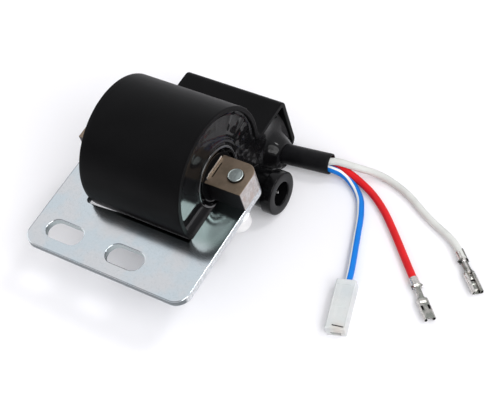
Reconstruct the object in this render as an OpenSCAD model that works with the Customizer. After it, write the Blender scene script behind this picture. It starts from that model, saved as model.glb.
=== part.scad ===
// Potted ignition unit on a slotted steel plate, with a coil, an electronics box and three leads.
// Millimetres. X runs along the coil towards the lead end, Y from the plate's front edge to the box,
// Z up from the plate's underside. The origin lies midway between the two mounting slots.

/* [Plate] */
// Width of the mounting plate along the coil
plate_w = 64.7; // [62:0.1:72]
// Thickness of the steel plate
plate_t = 2.5; // [1.5:0.1:4]
// How far the front edge lies ahead of the slots' line
plate_front = 8.1; // [6:0.1:16]
// How far the plate's middle lies to the right of the slots' middle
plate_shift = 7.4; // [4:0.1:8]
// Radius of the two front corners
plate_corner_r = 5.1; // [1:0.1:7]
// Radius of the outer corners at the arms' back ends, shared with the core
arm_corner_r = 4; // [1:0.1:5]
// Gap between the notch's front edge and the coil's skin
notch_gap = 1; // [0.6:0.1:3]
// Radius inside the notch's two front corners
notch_r = 1.2; // [0.4:0.1:3]

/* [Slots] */
// Width of each mounting slot
slot_w = 7.2; // [5:0.1:8]
// End to end length of each mounting slot
slot_l = 14.2; // [9:0.1:18]
// Distance between the slots' middles
slot_pitch = 24.6; // [20:0.1:30]

/* [Coil] */
// Outer radius of the round coil case
coil_r = 23; // [21.5:0.1:26]
// Length of the case along the coil
coil_l = 39.3; // [36:0.1:41]
// How far the coil's axis lies behind the slots' line
coil_y = 36.5; // [36:0.1:44]
// Height of the coil's axis over the plate's underside
coil_z = 8.3; // [7:0.1:10]
// How far the case's middle lies to the right of the plate's middle
coil_shift = 0.75; // [-1:0.05:1]
// Wall of the case
shell_wall = 1.8; // [1.2:0.1:2.2]
// How far the resin lies below the case's open rim
resin_recess = 1.5; // [0.5:0.1:3]

/* [Box] */
// How far the box's back face lies behind the coil's axis
box_back = 39; // [36:0.1:46]
// How far the box's top lies below the coil's axis
box_top = 6.4; // [5:0.1:7]
// How far the box reaches below the coil's belly
box_drop = 5.4; // [4.5:0.1:8]
// Radius of the box's two back edges
box_edge_r = 2.4; // [2.3:0.1:4]
// Slope of the face from the belly down to the box's bottom
belly_angle = 20; // [16:1:26]
// Radius of the hollow where the coil meets the box's top
neck_r = 1.6; // [0.6:0.1:3]

/* [Core] */
// Depth of the iron core from front to back
core_d = 12.1; // [9:0.1:12.5]
// Height of the stacked core sheets
core_h = 8.5; // [7:0.1:9]
// Thickness of the thin plate against the resin on the core's top
shim_t = 0.5; // [0.3:0.1:1]
// Diameter of the rivets through the core
rivet_d = 5.2; // [4:0.1:5.3]
// How far each rivet stands in from the core's end
rivet_inset = 5.1; // [4.9:0.1:5.6]
// How far the peened end stands proud of the core
rivet_proud = 1; // [0.4:0.1:1.6]
// How much wider the rivet's sunk foot is, flush with the plate's underside
rivet_flare = 0.5; // [0.3:0.1:0.7]
// Diameter of the domed stud under the right arm
dome_d = 7.8; // [6:0.1:8.4]
// How far the domed stud hangs below the plate
dome_h = 7.4; // [4.4:0.1:9]

/* [Tower] */
// How far the socket reaches beyond the case's rim
tower_reach = 11.8; // [9:0.1:16]
// Outer diameter of the socket's body
tower_d = 13.4; // [11.6:0.1:13.6]
// Outer diameter of the thicker ring at its mouth
ring_d = 15.2; // [14:0.1:16]
// Length of that ring
ring_l = 4; // [2:0.1:6]
// Bore that takes the high tension lead
bore_d = 8.4; // [7:0.1:9]
// Depth of the bore from the mouth
bore_l = 15; // [10:0.1:16]
// Diameter of the contact pin in the bore
pin_d = 2; // [1.4:0.1:3]
// How far the pin's tip stays inside the mouth
pin_back = 1.4; // [0.6:0.1:5]

/* [Windings] */
// Outer radius of the primary bobbin's tube
primary_r = 8.5; // [8.2:0.1:8.8]
// Depth of the primary winding
primary_t = 1.2; // [0.8:0.1:1.4]
// Wall of the secondary bobbin's tube
secondary_wall = 1; // [0.8:0.1:1.2]
// How far that tube stands out of the resin as a collar round the core
collar_proud = 0.5; // [0.2:0.1:1]
// Depth of the secondary winding
secondary_t = 3; // [2:0.1:3.2]
// How far the bobbin's ribs stand out of the winding
rib_rise = 0.8; // [0.4:0.1:1]
// Thickness of the bobbins' ribs and flanges
rib_t = 1; // [0.8:0.1:1.4]
// Number of chambers on the secondary bobbin
chambers = 5; // [3:1:7]

/* [Electronics] */
// Thickness of the circuit board
board_t = 1.6; // [1:0.1:2]
// Depth of the circuit board from front to back
board_d = 18.5; // [16.5:0.5:18.5]
// Height of the discharge capacitor on the board
capacitor_h = 9.5; // [7:0.1:10]

/* [Leads] */
// Outer diameter of each lead
wire_d = 2.5; // [2:0.1:2.6]
// Outer diameter of the sleeve round the leads
sleeve_d = 7.2; // [7:0.1:7.6]
// Wall of the sleeve
sleeve_wall = 0.6; // [0.4:0.1:0.7]
// Radius of the resin's hump round the sleeve's foot
hump_r = 6; // [4.6:0.1:7]

/* [Terminals] */
// Width of a blade terminal
blade_w = 3.9; // [3.6:0.1:4.2]
// Length of a blade terminal
blade_l = 16; // [14.5:0.1:17]
// Sheet thickness of a blade terminal
blade_t = 0.35; // [0.25:0.05:0.45]
// Width of the nylon housing
housing_w = 6.6; // [6:0.1:8]
// How far the nylon housing reaches past its terminal's tip
housing_nose = 0.8; // [0.6:0.1:3]
// Height of the nylon housing
housing_h = 4.6; // [4.4:0.1:5.4]

/* [Hidden] */
$fn = 64;
cut = 1;
fit_gap = 0.1;
plate_x0 = plate_shift - plate_w / 2;
plate_x1 = plate_shift + plate_w / 2;
core_y0 = coil_y - core_d / 2;
core_y1 = coil_y + core_d / 2;
core_z0 = plate_t;
core_z1 = core_z0 + core_h;
core_zm = core_z0 + core_h / 2;
coil_x0 = plate_shift + coil_shift - coil_l / 2;
coil_x1 = coil_x0 + coil_l;
arm_gap = 1.25;
notch_x0 = coil_x0 - arm_gap;
notch_x1 = coil_x1 + arm_gap;
notch_y = coil_y - sqrt(coil_r * coil_r - (coil_z - plate_t) * (coil_z - plate_t)) - notch_gap;
box_y1 = coil_y + box_back;
box_z1 = coil_z - box_top;
box_z0 = coil_z - coil_r - box_drop;
resin_x0 = coil_x0 + shell_wall;
resin_x1 = coil_x1 - resin_recess;
rivet_foot_d = rivet_d + rivet_flare;
tower_zc = box_z0 + shell_wall + fit_gap + tower_d / 2;
tower_to_belly = coil_r - shell_wall - fit_gap / 2 - tower_d / 2;
tower_yc = coil_y + (cos(belly_angle) * (coil_z - tower_zc) - tower_to_belly) / sin(belly_angle);
tower_x1 = coil_x1 + tower_reach;
bore_x0 = tower_x1 - bore_l;
tower_x0 = bore_x0 - 2.2;
bobbin_x0 = resin_x0 + 2.7;
bobbin_x1 = resin_x1 - 1.8;
bobbin_l = bobbin_x1 - bobbin_x0;
winding_in_r = primary_r + primary_t;
secondary_r = winding_in_r + secondary_wall;
winding_out_r = secondary_r + secondary_t;
flange_r = winding_out_r + rib_rise;
chamber_pitch = (bobbin_l - rib_t) / chambers;
board_z0 = box_z0 + 5.1;
board_z1 = board_z0 + board_t;
board_x0 = resin_x0 + 0.5;
board_x1 = resin_x1 - 7.3;
board_y1 = box_y1 - shell_wall - 1.6;
board_y0 = board_y1 - board_d;
board_l = board_x1 - board_x0;
part_rows = [0.22, 0.46, 0.7];
diode_d = 0.14 * board_d;
resistor_d = 0.12 * board_d;
link_y1 = min(board_y0 + 2.5, box_y1 - 19.4);
link_x0 = resin_x0 + 0.9;
lance = 0.9;
sleeve_foot = [resin_x1 - 6.7, box_y1 - 11.5, box_z0 + 6.1];
sleeve_mouth = [coil_x1 + 19.6, box_y1 - 7.8, box_z0 + 5.4];
wire_foot_x = sleeve_foot[0] - 0.6;

// The leads' points are measured from the corner of the case's rim at the box's back and bottom.
function from_box(points) = [for (p = points) [coil_x1, box_y1, box_z0] + p];
blue_route = from_box([[20.8, -8.9, 4.2], [23.6, -8.6, 3.2], [26, -9, 2.3], [28.8, -10.4, 1.6],
    [31.7, -12.6, 1.3], [34.1, -15.2, 1.3], [35.8, -18.2, 1.3], [37.4, -21.6, 1.3],
    [39, -25.9, 1.3], [40.9, -31.1, 1.4], [43, -36.5, 1.7], [44.8, -41.4, 2]]);
red_route = from_box([[21.8, -6.8, 4.3], [24.8, -7.3, 3.7], [28.2, -8, 2.8], [31.9, -9.1, 1.9],
    [35.7, -10.7, 1.4], [40.3, -13.5, 1.3], [44.6, -16.8, 1.3], [48.5, -20.3, 1.3],
    [52.4, -24, 1.3], [56.8, -28.3, 1.4], [61, -32.4, 1.6]]);
white_route = from_box([[21.6, -6.8, 6.5], [26.2, -5.8, 5.3], [29.6, -5, 4.2], [33, -4.2, 3.1],
    [36.5, -3.9, 2.1], [40.4, -4.4, 1.5], [44.4, -5.6, 1.3], [48.7, -7.4, 1.3],
    [52.8, -9.7, 1.3], [57.1, -12.1, 1.3], [61.6, -14.3, 1.3], [66.1, -16.2, 1.4],
    [70.2, -18.4, 1.6]]);
blue_end = [coil_x1, box_y1, box_z0] + [46.5, -47, 2.25];
red_end = [coil_x1, box_y1, box_z0] + [64.3, -35.6, 1.7];
white_end = [coil_x1, box_y1, box_z0] + [73.4, -21, 1.7];
blue_turn = -73.6;
red_turn = -45;
white_turn = -44;

// Stands a shape drawn in X and Y up so that it lies in Y and Z and runs along X.
module along_x(x0, x1) {
    translate([x0, 0, 0])
        rotate([90, 0, 90])
            linear_extrude(height = x1 - x0)
                children();
}

// A cylinder along X between two places.
module rod_x(x0, x1, y, z, r) {
    translate([x0, y, z])
        rotate([0, 90, 0])
            cylinder(r = r, h = x1 - x0);
}

module slot_outline() {
    half = (slot_l - slot_w) / 2;
    square([2 * half, slot_w], center = true);
    translate([-half, 0])
        circle(d = slot_w);
    translate([half, 0])
        circle(d = slot_w);
}

module mounting_plate() {
    color([0.72, 0.75, 0.78])
        difference() {
            linear_extrude(height = plate_t)
                difference() {
                    translate([plate_x0, -plate_front])
                        square([plate_w, plate_front + core_y1]);
                    mirror_corner(plate_x0, -plate_front, plate_corner_r, 1, 1);
                    mirror_corner(plate_x1, -plate_front, plate_corner_r, -1, 1);
                    mirror_corner(plate_x0, core_y1, arm_corner_r, 1, -1);
                    mirror_corner(plate_x1, core_y1, arm_corner_r, -1, -1);
                    notch_outline();
                    translate([-slot_pitch / 2, 0])
                        slot_outline();
                    translate([slot_pitch / 2, 0])
                        slot_outline();
                }
            for (x = [plate_x0 + rivet_inset, plate_x1 - rivet_inset])
                translate([x, coil_y, 0]) {
                    translate([0, 0, -cut])
                        cylinder(d = rivet_d, h = plate_t + 2 * cut);
                    rotate_extrude()
                        polygon([[0, -cut], [rivet_foot_d / 2 + cut, -cut],
                            [rivet_d / 2, (rivet_foot_d - rivet_d) / 2], [0, (rivet_foot_d - rivet_d) / 2]]);
                }
        }
}

// The waste outside a rounded corner at a place, turned to the corner's side.
module mirror_corner(x, y, r, sx, sy) {
    translate([x, y])
        mirror([sx < 0 ? 1 : 0, 0])
            mirror([0, sy < 0 ? 1 : 0])
                difference() {
                    translate([-cut, -cut])
                        square([r + cut, r + cut]);
                    translate([r, r])
                        circle(r = r);
                }
}

module notch_outline() {
    translate([notch_x0, notch_y + notch_r])
        square([notch_x1 - notch_x0, core_y1 + cut - notch_y - notch_r]);
    translate([notch_x0 + notch_r, notch_y])
        square([notch_x1 - notch_x0 - 2 * notch_r, notch_r + cut]);
    translate([notch_x0 + notch_r, notch_y + notch_r])
        circle(r = notch_r);
    translate([notch_x1 - notch_r, notch_y + notch_r])
        circle(r = notch_r);
}

// The iron bar with its two rounded back corners.
module core_bar(grow) {
    translate([0, 0, core_z0 - grow])
        linear_extrude(height = core_h + 2 * grow)
            difference() {
                translate([plate_x0, core_y0 - grow])
                    square([plate_w, core_d + 2 * grow]);
                mirror_corner(plate_x0, core_y1 + grow, arm_corner_r, 1, -1);
                mirror_corner(plate_x1, core_y1 + grow, arm_corner_r, -1, -1);
            }
}

module core_stack() {
    color([0.45, 0.4, 0.36])
        difference() {
            core_bar(0);
            for (x = [plate_x0 + rivet_inset, plate_x1 - rivet_inset])
                translate([x, coil_y, core_z0 - cut])
                    cylinder(d = rivet_d, h = core_h + 2 * cut);
        }
}

// The thin steel strip that stands on the core against the resin.
module core_shim() {
    color([0.6, 0.58, 0.55])
        translate([resin_x1, core_y0 + 1.6, core_z1])
            cube([shim_t, core_d - 2.6, 0.9]);
}

module core_rivets() {
    color([0.75, 0.75, 0.74])
        for (x = [plate_x0 + rivet_inset, plate_x1 - rivet_inset])
            translate([x, coil_y, 0])
                rotate_extrude()
                    polygon([[0, 0], [rivet_foot_d / 2, 0], [rivet_d / 2, (rivet_foot_d - rivet_d) / 2],
                        [rivet_d / 2, core_z1 + rivet_proud - 0.4],
                        [rivet_d / 2 - 0.4, core_z1 + rivet_proud], [0, core_z1 + rivet_proud]]);
}

// The bright domed stud under the right arm, near the arm's outer edge.
module dome_stud() {
    color([0.85, 0.87, 0.86])
        translate([plate_x1 - dome_d / 2 + 0.6, coil_y - (rivet_foot_d + dome_d) / 2 + 0.1, 0])
            rotate_extrude()
                difference() {
                    union() {
                        translate([0, -(dome_h - dome_d / 2)])
                            circle(d = dome_d);
                        translate([0, -(dome_h - dome_d / 2)])
                            square([dome_d / 2, dome_h - dome_d / 2]);
                    }
                    translate([-dome_d, -dome_h - cut])
                        square([dome_d, 2 * dome_h + dome_d]);
                    translate([-cut, 0])
                        square([dome_d, dome_d]);
                }
}

// Cross-section of the case in Y and Z, drawn a given depth inside its skin.
module case_section(inset) {
    r = coil_r - inset;
    sa = sin(belly_angle);
    ca = cos(belly_angle);
    foot_z = box_z0 + inset;
    foot_y = coil_y - (r + ca * (foot_z - coil_z)) / sa;
    top_z = box_z1 - inset;
    back_y = box_y1 - inset;
    er = box_edge_r - inset;
    neck_z = box_z1 + neck_r;
    neck_y = coil_y + sqrt((coil_r + neck_r) * (coil_r + neck_r) - (neck_z - coil_z) * (neck_z - coil_z));
    translate([coil_y, coil_z])
        circle(r = r, $fn = 128);
    difference() {
        polygon([[coil_y, coil_z], [coil_y - r * sa, coil_z - r * ca], [foot_y, foot_z],
            [back_y - er, foot_z], [back_y - er, foot_z + er], [back_y, foot_z + er],
            [back_y, top_z - er], [back_y - er, top_z - er], [back_y - er, top_z],
            [neck_y, top_z], [neck_y, neck_z]]);
        translate([neck_y, neck_z])
            circle(r = neck_r + inset);
    }
    translate([back_y - er, foot_z + er])
        circle(r = er);
    translate([back_y - er, top_z - er])
        circle(r = er);
}

module coil_shell() {
    color([0.05, 0.05, 0.055])
        difference() {
            along_x(coil_x0, coil_x1)
                case_section(0);
            along_x(resin_x0, coil_x1 + cut)
                case_section(shell_wall);
            translate([coil_x0 - cut, core_y0 - fit_gap, core_z0 - fit_gap])
                cube([shell_wall + 2 * cut, core_d + 2 * fit_gap, core_h + 2 * fit_gap]);
        }
}

// Turns a piece drawn along Z so that it points from one place to another.
module point_along(a, b) {
    d = b - a;
    translate(a)
        rotate([0, acos(d[2] / norm(d)), atan2(d[1], d[0])])
            children();
}

// The space that the sleeve and the leads take in the resin.
module sleeve_seat() {
    point_along(sleeve_foot, sleeve_mouth)
        translate([0, 0, -0.7])
            cylinder(d = sleeve_d, h = norm(sleeve_mouth - sleeve_foot) + 1);
}

module resin() {
    color([0.03, 0.03, 0.035])
        difference() {
            union() {
                along_x(resin_x0, resin_x1)
                    case_section(shell_wall);
                intersection() {
                    along_x(resin_x0 + 8, coil_x1 + 8)
                        case_section(shell_wall);
                    translate([resin_x1 - 1, sleeve_foot[1] + 0.8, sleeve_foot[2] - 0.2])
                        sphere(r = hump_r);
                }
            }
            core_bar(0);
            rod_x(bobbin_x0, bobbin_x1, coil_y, core_zm, winding_out_r);
            rod_x(bobbin_x0, resin_x1 + cut, coil_y, core_zm, secondary_r);
            for (i = [0 : chambers])
                rod_x(bobbin_x0 + i * chamber_pitch, bobbin_x0 + i * chamber_pitch + rib_t,
                    coil_y, core_zm, flange_r);
            rod_x(tower_x0, coil_x1, tower_yc, tower_zc, tower_d / 2);
            rod_x(tower_x0 - 1.5, coil_x1, tower_yc, tower_zc, pin_d / 2);
            ht_link();
            circuit_board();
            discharge_capacitor();
            thyristor();
            diodes();
            resistors();
            earth_link();
            sleeve_seat();
        }
}

// The inner bobbin's tube ends level with the resin's face, where the core comes out of it.
module primary_bobbin() {
    color([0.08, 0.08, 0.085])
        difference() {
            union() {
                rod_x(bobbin_x0, resin_x1, coil_y, core_zm, primary_r);
                rod_x(bobbin_x0, bobbin_x0 + rib_t, coil_y, core_zm, winding_in_r);
                rod_x(bobbin_x1 - rib_t, bobbin_x1, coil_y, core_zm, winding_in_r);
            }
            core_bar(0);
        }
}

module primary_winding() {
    color([0.72, 0.38, 0.2])
        difference() {
            rod_x(bobbin_x0 + rib_t, bobbin_x1 - rib_t, coil_y, core_zm, winding_in_r);
            rod_x(bobbin_x0, bobbin_x1, coil_y, core_zm, primary_r);
        }
}

// The outer bobbin's tube stands out of the resin as a collar, with a groove inside it.
module secondary_bobbin() {
    color([0.07, 0.07, 0.075])
        difference() {
            union() {
                rod_x(bobbin_x0, resin_x1 + collar_proud, coil_y, core_zm, secondary_r);
                for (i = [0 : chambers])
                    rod_x(bobbin_x0 + i * chamber_pitch, bobbin_x0 + i * chamber_pitch + rib_t,
                        coil_y, core_zm, flange_r);
            }
            rod_x(bobbin_x0 - cut, resin_x1 + collar_proud + cut, coil_y, core_zm, winding_in_r);
        }
}

module secondary_winding() {
    color([0.66, 0.33, 0.18])
        for (i = [0 : chambers - 1])
            difference() {
                rod_x(bobbin_x0 + i * chamber_pitch + rib_t, bobbin_x0 + (i + 1) * chamber_pitch,
                    coil_y, core_zm, winding_out_r);
                rod_x(bobbin_x0, bobbin_x1, coil_y, core_zm, secondary_r);
            }
}

module ht_tower() {
    color([0.06, 0.06, 0.065])
        difference() {
            union() {
                rod_x(tower_x0, tower_x1 - ring_l, tower_yc, tower_zc, tower_d / 2);
                rod_x(tower_x1 - ring_l, tower_x1, tower_yc, tower_zc, ring_d / 2);
            }
            rod_x(bore_x0, tower_x1 + cut, tower_yc, tower_zc, bore_d / 2);
            rod_x(tower_x0 - cut, tower_x1, tower_yc, tower_zc, pin_d / 2);
        }
}

// The pin that the lead's core is pushed on to, pointed at its free end.
module ht_pin() {
    color([0.8, 0.8, 0.78])
        translate([tower_x0 - 1.5, tower_yc, tower_zc])
            rotate([0, 90, 0])
                rotate_extrude()
                    polygon([[0, 0], [pin_d / 2, 0],
                        [pin_d / 2, tower_x1 - pin_back - tower_x0 + 1.5 - pin_d],
                        [0.3, tower_x1 - pin_back - tower_x0 + 1.5],
                        [0, tower_x1 - pin_back - tower_x0 + 1.5]]);
}

// The joint from the last chamber of the winding down to the pin.
module ht_link() {
    dy = tower_yc - coil_y;
    dz = tower_zc - core_zm;
    gap = sqrt(dy * dy + dz * dz);
    x = tower_x0 - 0.8;
    color([0.75, 0.45, 0.3])
        difference() {
            point_along([x, coil_y + dy * winding_out_r / gap, core_zm + dz * winding_out_r / gap],
                [x, tower_yc, tower_zc])
                translate([0, 0, -0.3])
                    cylinder(d = 1, h = gap - winding_out_r);
            rod_x(bobbin_x0, bobbin_x1 - rib_t, coil_y, core_zm, winding_out_r);
            rod_x(tower_x0 - 2, coil_x1, tower_yc, tower_zc, pin_d / 2);
        }
}

module circuit_board() {
    color([0.25, 0.4, 0.2])
        translate([board_x0, board_y0, board_z0])
            cube([board_x1 - board_x0, board_d, board_t]);
}

module discharge_capacitor() {
    color([0.7, 0.25, 0.1])
        translate([board_x0 + 0.07 * board_l, board_y1 - 0.755 * board_d, board_z1])
            cube([0.6 * board_l, 0.7 * board_d, capacitor_h]);
}

module thyristor() {
    color([0.12, 0.12, 0.12])
        translate([board_x0 + 0.74 * board_l, board_y1 - 0.65 * board_d, board_z1])
            cube([0.25 * board_l, 0.6 * board_d, 0.3 * capacitor_h]);
}

// A small round part lying on its own bent legs under the board.
module axial_part(x, y, d, l) {
    rod_x(x, x + l, y, board_z0 - d / 2 - 0.2, d / 2);
    translate([x - 1.5, y - 0.3, board_z0 - d / 2 - 0.5])
        cube([l + 3, 0.6, 0.6]);
    for (leg = [x - 1.5, x + l + 0.9])
        translate([leg, y - 0.3, board_z0 - d / 2 - 0.5])
            cube([0.6, 0.6, d / 2 + 0.5]);
}

module diodes() {
    color([0.15, 0.15, 0.15])
        for (i = [0, 1])
            axial_part(board_x0 + 0.14 * board_l, board_y0 + part_rows[i] * board_d, diode_d,
                0.18 * board_l);
}

module resistors() {
    color([0.75, 0.62, 0.42])
        for (row = part_rows)
            axial_part(board_x0 + 0.55 * board_l, board_y0 + row * board_d, resistor_d,
                0.21 * board_l);
}

// The strip that joins the board to the core, and so to the plate.
module earth_link() {
    color([0.8, 0.8, 0.78]) {
        translate([link_x0, core_y1, core_zm - 1.5])
            cube([0.5, link_y1 - core_y1, 3]);
        translate([link_x0, link_y1 - 2.5, board_z1])
            cube([0.5, 2.5, core_zm - board_z1]);
    }
}

module lead_sleeve() {
    color([0.06, 0.06, 0.07])
        point_along(sleeve_foot, sleeve_mouth)
            difference() {
                cylinder(d = sleeve_d, h = norm(sleeve_mouth - sleeve_foot));
                translate([0, 0, -cut])
                    cylinder(d = sleeve_d - 2 * sleeve_wall, h = norm(sleeve_mouth - sleeve_foot) + 2 * cut);
            }
}

// A lead: one ring of corners square to the route at each of its points, joined into a tube.
function route_dir(p, i) =
    let (n = len(p), a = p[max(i - 1, 0)], b = p[min(i + 1, n - 1)])
    (b - a) / norm(b - a);
function ring_points(p, i, r, sides) =
    let (
        t = route_dir(p, i),
        s = cross(t, [0, 0, 1]) / norm(cross(t, [0, 0, 1])),
        u = cross(s, t)
    )
    [for (k = [0 : sides - 1]) p[i] + r * (cos(360 * k / sides) * s + sin(360 * k / sides) * u)];
module lead(p, r) {
    sides = 8;
    n = len(p);
    points = [for (i = [0 : n - 1]) each ring_points(p, i, r, sides)];
    walls = [for (i = [0 : n - 2]) for (k = [0 : sides - 1])
        [i * sides + k, (i + 1) * sides + k, (i + 1) * sides + (k + 1) % sides,
            i * sides + (k + 1) % sides]];
    first = [for (k = [0 : sides - 1]) k];
    last = [for (k = [0 : sides - 1]) (n - 1) * sides + sides - 1 - k];
    polyhedron(points = points, faces = concat(walls, [first, last]), convexity = 6);
}

// Places along the sleeve at which a lead keeps its own side of it.
function in_sleeve(f, dy, dz) = sleeve_foot + f * (sleeve_mouth - sleeve_foot) + [0, dy, dz];
function lead_in(dy, dz) = [[wire_foot_x, sleeve_foot[1] + dy, sleeve_foot[2] + dz],
    in_sleeve(0.25, dy, dz), in_sleeve(0.5, dy, dz), in_sleeve(0.75, dy, dz), in_sleeve(0.98, dy, dz)];

module blue_wire() {
    color([0.05, 0.25, 0.6])
        lead(concat(lead_in(-1.2, -0.85), blue_route, [blue_end + 2.6 * heading(blue_turn)]), wire_d / 2);
}

module red_wire() {
    color([0.75, 0.05, 0.08])
        lead(concat(lead_in(1.35, -0.7), red_route, [red_end + 2.6 * heading(red_turn)]), wire_d / 2);
}

module white_wire() {
    color([0.9, 0.89, 0.87])
        lead(concat(lead_in(-0.05, 1.5), white_route, [white_end + 2.6 * heading(white_turn)]), wire_d / 2);
}

function heading(turn) = [cos(turn), sin(turn), 0];

// A blade terminal drawn along X: the grip on the lead, the grip on its strands, and the flat socket.
module blade_terminal(place, turn) {
    box_x = blade_l - 7.6;
    box_h = 1.7;
    translate(place)
        rotate([0, 0, turn]) {
            difference() {
                rod_x(0, 3, 0, 0, wire_d / 2 + blade_t);
                rod_x(-cut, 3 + cut, 0, 0, wire_d / 2);
            }
            rod_x(4, 7.2, 0, -0.35, 1.15);
            translate([2.6, -1, -wire_d / 2 - blade_t])
                cube([box_x - 2, 2, blade_t]);
            difference() {
                translate([box_x, -blade_w / 2, -wire_d / 2 - blade_t])
                    cube([blade_l - box_x, blade_w, box_h]);
                translate([box_x - cut, -blade_w / 2 + 2 * blade_t, -wire_d / 2])
                    cube([blade_l, blade_w - 4 * blade_t, box_h - 2 * blade_t]);
                translate([box_x + 1.6, -lance / 2, 0])
                    cube([blade_l, lance, box_h]);
            }
        }
}

module blue_terminal() {
    color([0.78, 0.77, 0.74])
        blade_terminal(blue_end, blue_turn);
}

module red_terminal() {
    color([0.78, 0.77, 0.74])
        blade_terminal(red_end, red_turn);
}

module white_terminal() {
    color([0.78, 0.77, 0.74])
        blade_terminal(white_end, white_turn);
}

// The nylon housing round the blue lead's terminal, open at the back and slotted at its front end.
module connector_housing() {
    floor_t = 0.65;
    housing_x1 = blade_l + housing_nose;
    grip_r = wire_d / 2 + blade_t;
    edge_r = 0.8;
    color([0.88, 0.88, 0.84])
        translate(blue_end - [0, 0, grip_r + floor_t])
            rotate([0, 0, blue_turn])
                difference() {
                    along_x(-1.5, housing_x1)
                        union() {
                            translate([-housing_w / 2 + edge_r, 0])
                                square([housing_w - 2 * edge_r, housing_h]);
                            translate([-housing_w / 2, edge_r])
                                square([housing_w, housing_h - 2 * edge_r]);
                            for (y = [-housing_w / 2 + edge_r, housing_w / 2 - edge_r])
                                for (z = [edge_r, housing_h - edge_r])
                                    translate([y, z])
                                        circle(r = edge_r, $fn = 32);
                        }
                    translate([-1.5 - cut, -blade_w / 2 - 0.15, floor_t])
                        cube([blade_l + 1.5 + cut + 0.3, blade_w + 0.3, 2 * grip_r]);
                    translate([blade_l, -1.7, floor_t])
                        cube([housing_nose + cut, 3.4, 1.5]);
                    translate([housing_x1 - 1.5, -2.1, housing_h - 1.2])
                        cube([0.8, 4.2, 2]);
                }
}

mounting_plate();
core_stack();
core_shim();
core_rivets();
dome_stud();
coil_shell();
resin();
primary_bobbin();
primary_winding();
secondary_bobbin();
secondary_winding();
ht_tower();
ht_pin();
ht_link();
circuit_board();
discharge_capacitor();
thyristor();
diodes();
resistors();
earth_link();
lead_sleeve();
blue_wire();
red_wire();
white_wire();
blue_terminal();
red_terminal();
white_terminal();
connector_housing();
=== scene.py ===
import math

import bmesh
import bpy
import numpy as np
from mathutils import Matrix, Vector
from mathutils.geometry import delaunay_2d_cdt, tessellate_polygon


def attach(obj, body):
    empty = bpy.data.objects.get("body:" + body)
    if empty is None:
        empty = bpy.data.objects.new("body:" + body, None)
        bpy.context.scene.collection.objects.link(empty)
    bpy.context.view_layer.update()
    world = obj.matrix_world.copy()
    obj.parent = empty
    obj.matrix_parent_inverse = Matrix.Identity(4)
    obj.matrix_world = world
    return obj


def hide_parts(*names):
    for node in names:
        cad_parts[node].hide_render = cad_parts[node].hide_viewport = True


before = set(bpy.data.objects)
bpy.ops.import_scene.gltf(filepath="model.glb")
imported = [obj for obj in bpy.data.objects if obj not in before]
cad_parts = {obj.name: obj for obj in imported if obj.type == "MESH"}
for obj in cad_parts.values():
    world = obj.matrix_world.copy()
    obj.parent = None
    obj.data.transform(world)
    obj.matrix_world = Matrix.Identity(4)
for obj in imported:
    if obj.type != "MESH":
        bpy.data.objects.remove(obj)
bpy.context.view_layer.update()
mm = 0.001

# The photograph's viewpoint, in the part's own frame
cameraSetup = dict(
    place=(234.1186, -146.9781, 342.0156),
    forward=(-0.45222, 0.42112, -0.78623),
    right=(0.83678, 0.50543, -0.21058),
    focalPixels=1351.119, imageWidth=500, sensor=36, clip=(0.01, 20))


# Puts new data into the scene
def addObject(name, data):
    made = bpy.data.objects.new(name, data)
    bpy.context.collection.objects.link(made)
    return made


# Looks along forward, with right turned square to it.
def addCamera(setup):
    forward = Vector(setup["forward"]).normalized()
    right = Vector(setup["right"])
    right = (right - forward * right.dot(forward)).normalized()
    turn = Matrix((right, right.cross(forward), -forward)).transposed().to_4x4()
    data = bpy.data.cameras.new("photoCamera")
    data.sensor_width = setup["sensor"]
    data.lens = setup["focalPixels"] * setup["sensor"] / setup["imageWidth"]
    data.clip_start, data.clip_end = setup["clip"]
    camera = addObject("photoCamera", data)
    camera.matrix_world = Matrix.Translation(Vector(setup["place"]) * mm) @ turn
    bpy.context.scene.camera = camera


addCamera(cameraSetup)
print("camera placed")


# Finishes
# A number inside a finish: sums and products of it add Math nodes.
class Signal:
    def __init__(self, finish, socket):
        self.finish, self.socket = finish, socket

    def maths(self, operation, other, swapped=False):
        pair = (other, self) if swapped else (self, other)
        return self.finish.node("Math", dict(enumerate(pair)), operation=operation)

    __add__ = __radd__ = lambda self, other: self.maths("ADD", other)
    __mul__ = __rmul__ = lambda self, other: self.maths("MULTIPLY", other)
    __sub__ = lambda self, other: self.maths("SUBTRACT", other)
    __rsub__ = lambda self, other: self.maths("SUBTRACT", other, True)

    # Smoothly from 0 at first to 1 at last, which may be the smaller
    def step(self, first, last):
        return self.finish.node("MapRange", {0: self, 1: first, 2: last}, interpolation_type="SMOOTHSTEP")


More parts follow.
